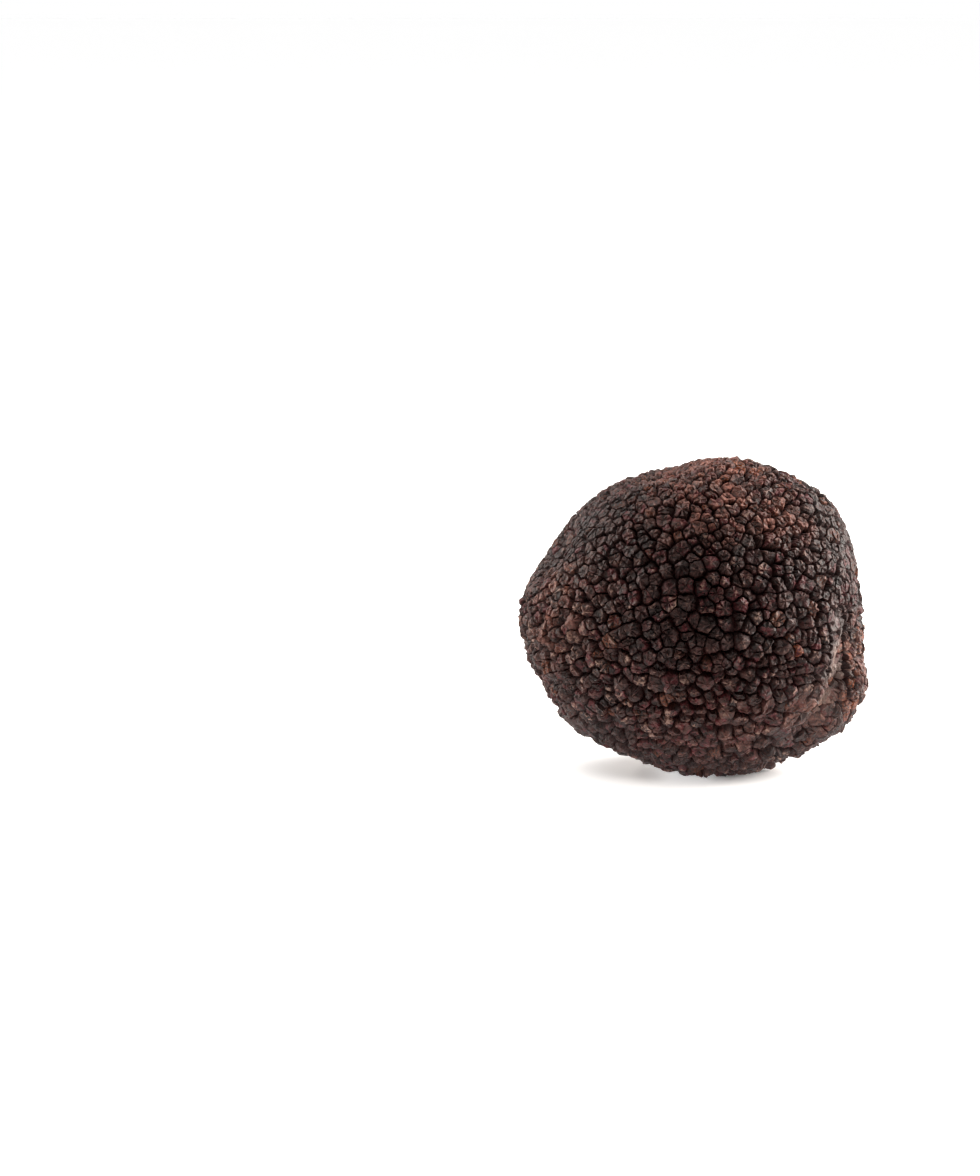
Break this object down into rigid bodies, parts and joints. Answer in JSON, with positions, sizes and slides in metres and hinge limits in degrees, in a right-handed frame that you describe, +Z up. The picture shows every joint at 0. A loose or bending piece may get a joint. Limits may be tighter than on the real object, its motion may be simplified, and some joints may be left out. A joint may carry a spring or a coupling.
{
  "type": "black truffle",
  "caption": "Whole fresh black truffle: an irregular rounded body covered in low polygonal warts, with a small worn flat spot that it rests on.",
  "frame": {"origin": "bottom centre of the bounding box, at the level of the flat spot that the truffle rests on", "axes": "+Z up, -Y towards the viewer of the picture, +X to that viewer's right, along the longest extent"},
  "size_m": [0.0542, 0.0488, 0.049],
  "materials": {
    "truffle_skin": "dry, matt, rough skin, purplish brown-black, darker in the grooves between the warts, with some wine-red, rust and tan warts"
  },
  "bodies": {
    "root": {"truffle": "truffle_skin"}
  },
  "joints": []
}
